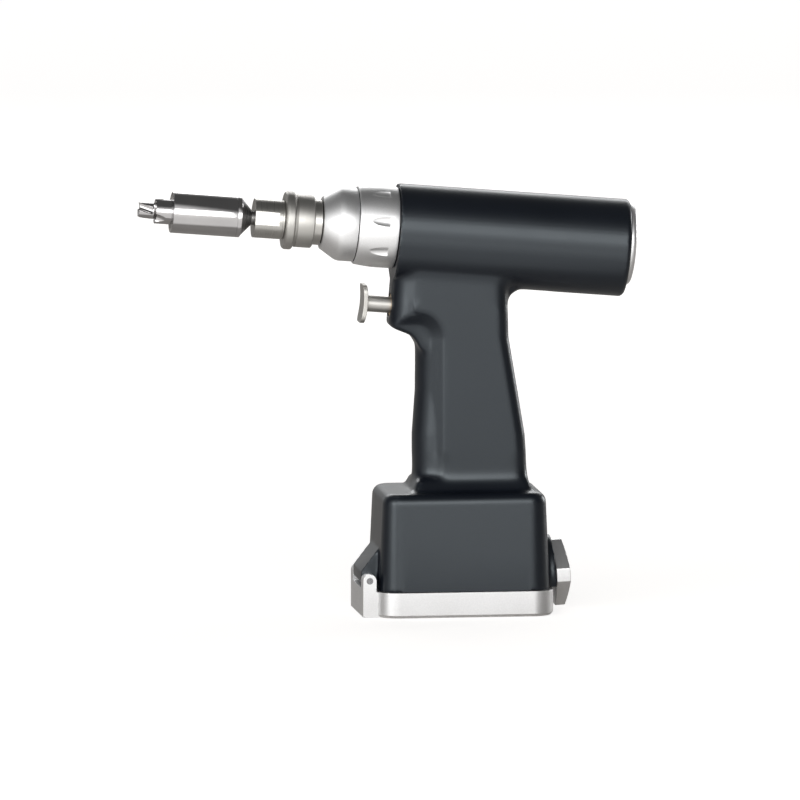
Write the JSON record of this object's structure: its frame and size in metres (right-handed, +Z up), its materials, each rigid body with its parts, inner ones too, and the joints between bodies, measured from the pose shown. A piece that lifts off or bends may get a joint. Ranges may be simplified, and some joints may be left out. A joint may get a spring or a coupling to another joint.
{
  "type": "surgical power drill",
  "caption": "Battery surgical drill with pistol grip, plunger trigger, quick-release chuck with a skull perforator, geared nose with lock ring, and a hinged base lid.",
  "frame": {"origin": "centre of the base lid's underside, on the surface that the drill stands on", "axes": "+Z up, +X backwards along the barrel (the cutting tip points along -X), +Y completes the right-handed frame"},
  "size_m": [0.2253, 0.056, 0.1936],
  "materials": {
    "black_anodised": "satin black anodised",
    "bright_aluminium": "satin aluminium",
    "stainless": "satin stainless steel",
    "polished_steel": "polished steel",
    "dark_steel": "dark hardened steel",
    "bearing_steel": "ground steel",
    "motor_steel": "plain steel",
    "seal_rubber": "matte rubber",
    "bronze": "machined bronze",
    "case_plastic": "matte moulded plastic",
    "cell_wrap": "gloss sleeve",
    "circuit": "solder-masked board"
  },
  "bodies": {
    "housing": {"main_housing": "black_anodised", "nose_cone": "bright_aluminium", "spindle_seal": "seal_rubber", "front_bearing_outer": "bearing_steel", "rear_bearing_outer": "bearing_steel", "ring_gear": "dark_steel", "motor_can": "motor_steel", "motor_stator": "motor_steel", "motor_bearing_front": "bearing_steel", "motor_bearing_rear": "bearing_steel", "end_cap": "bright_aluminium", "end_cap_seal": "seal_rubber", "trigger_bush": "bronze", "trigger_sensor": "circuit", "trigger_spring": "stainless", "battery_case": "case_plastic", "battery_cell_1": "cell_wrap", "battery_cell_2": "cell_wrap", "battery_cell_3": "cell_wrap", "battery_cell_4": "cell_wrap", "battery_end_plate": "case_plastic", "battery_terminals": "bronze", "contact_block": "case_plastic", "contact_pins": "bronze", "control_card": "circuit"},
    "spindle": {"spindle": "stainless", "chuck_body": "stainless", "locking_pin_1": "bearing_steel", "locking_pin_2": "bearing_steel", "locking_pin_3": "bearing_steel", "collar_spring": "stainless", "planet_pin_1": "dark_steel", "planet_pin_2": "dark_steel", "planet_pin_3": "dark_steel", "front_bearing_inner": "bearing_steel", "rear_bearing_inner": "bearing_steel", "perforator_shank": "dark_steel", "perforator_sleeve": "polished_steel", "outer_cutter": "polished_steel", "clutch_spring": "stainless"},
    "inner_cutter": {"inner_cutter": "polished_steel"},
    "collar": {"release_collar": "stainless"},
    "front_cage": {"front_bearing_rollers": "bearing_steel"},
    "rear_cage": {"rear_bearing_rollers": "bearing_steel"},
    "rotor": {"motor_rotor": "motor_steel"},
    "planet_1": {"planet_gear_1": "dark_steel"},
    "planet_2": {"planet_gear_2": "dark_steel"},
    "planet_3": {"planet_gear_3": "dark_steel"},
    "lock_ring": {"lock_ring": "bright_aluminium"},
    "trigger": {"trigger": "stainless", "trigger_magnet": "motor_steel"},
    "lid": {"base_lid": "bright_aluminium", "battery_pad": "seal_rubber", "lid_seal": "seal_rubber", "hinge_pin_left": "stainless", "hinge_pin_right": "stainless"},
    "lock": {"lock_knob": "bright_aluminium", "lock_shaft": "stainless", "lock_washer": "stainless"}
  },
  "joints": [
    {"name": "spindle_spin", "type": "hinge", "parent": "housing", "child": "spindle", "pos_m": [-0.05979, 0, 0.17622], "axis": [0.9965, 0, -0.0837], "continuous": true},
    {"name": "motor_spin", "type": "hinge", "parent": "housing", "child": "rotor", "pos_m": [0.00996, 0, 0.17036], "axis": [0.9965, 0, -0.0837], "continuous": true},
    {"name": "front_cage_spin", "type": "hinge", "parent": "housing", "child": "front_cage", "pos_m": [-0.0558, 0, 0.17589], "axis": [0.9965, 0, -0.0837], "continuous": true},
    {"name": "rear_cage_spin", "type": "hinge", "parent": "housing", "child": "rear_cage", "pos_m": [-0.04684, 0, 0.17513], "axis": [0.9965, 0, -0.0837], "continuous": true},
    {"name": "planet_1_spin", "type": "hinge", "parent": "spindle", "child": "planet_1", "pos_m": [-0.03525, 0, 0.18169], "axis": [0.9965, 0, -0.0837], "continuous": true},
    {"name": "planet_2_spin", "type": "hinge", "parent": "spindle", "child": "planet_2", "pos_m": [-0.03619, -0.0065, 0.17048], "axis": [0.9965, 0, -0.0837], "continuous": true},
    {"name": "planet_3_spin", "type": "hinge", "parent": "spindle", "child": "planet_3", "pos_m": [-0.03619, 0.0065, 0.17048], "axis": [0.9965, 0, -0.0837], "continuous": true},
    {"name": "cutter_clutch", "type": "slide", "parent": "spindle", "child": "inner_cutter", "axis": [0.9965, 0, -0.0837], "range_m": [0, 0.0012], "stiffness_N_per_m": 2000, "springref_m": -0.0005, "deforming": ["clutch_spring"]},
    {"name": "collar_slide", "type": "slide", "parent": "spindle", "child": "collar", "axis": [0.9965, 0, -0.0837], "range_m": [0, 0.0033], "stiffness_N_per_m": 1500, "springref_m": -0.0005, "deforming": ["collar_spring"]},
    {"name": "lock_ring_turn", "type": "hinge", "parent": "housing", "child": "lock_ring", "pos_m": [-0.03787, 0, 0.17438], "axis": [0.9965, 0, -0.0837], "range_deg": [0, 30]},
    {"name": "trigger_slide", "type": "slide", "parent": "housing", "child": "trigger", "axis": [0.9965, 0, -0.0837], "range_m": [0, 0.008], "stiffness_N_per_m": 600, "springref_m": -0.002, "deforming": ["trigger_spring"]},
    {"name": "lid_hinge", "type": "hinge", "parent": "housing", "child": "lid", "pos_m": [-0.0432, 0, 0.0164], "axis": [0, 1, 0], "range_deg": [0, 100]},
    {"name": "lock_turn", "type": "hinge", "parent": "housing", "child": "lock", "pos_m": [0.0424, 0, 0.0166], "axis": [0.9985, 0, 0.0541], "range_deg": [0, 90]}
  ],
  "couplings": [
    {"joint": "motor_spin", "follows": "spindle_spin", "ratio": 5},
    {"joint": "planet_1_spin", "follows": "spindle_spin", "ratio": -2.6667},
    {"joint": "planet_2_spin", "follows": "spindle_spin", "ratio": -2.6667},
    {"joint": "planet_3_spin", "follows": "spindle_spin", "ratio": -2.6667},
    {"joint": "front_cage_spin", "follows": "spindle_spin", "ratio": 0.43448},
    {"joint": "rear_cage_spin", "follows": "spindle_spin", "ratio": 0.43448}
  ]
}
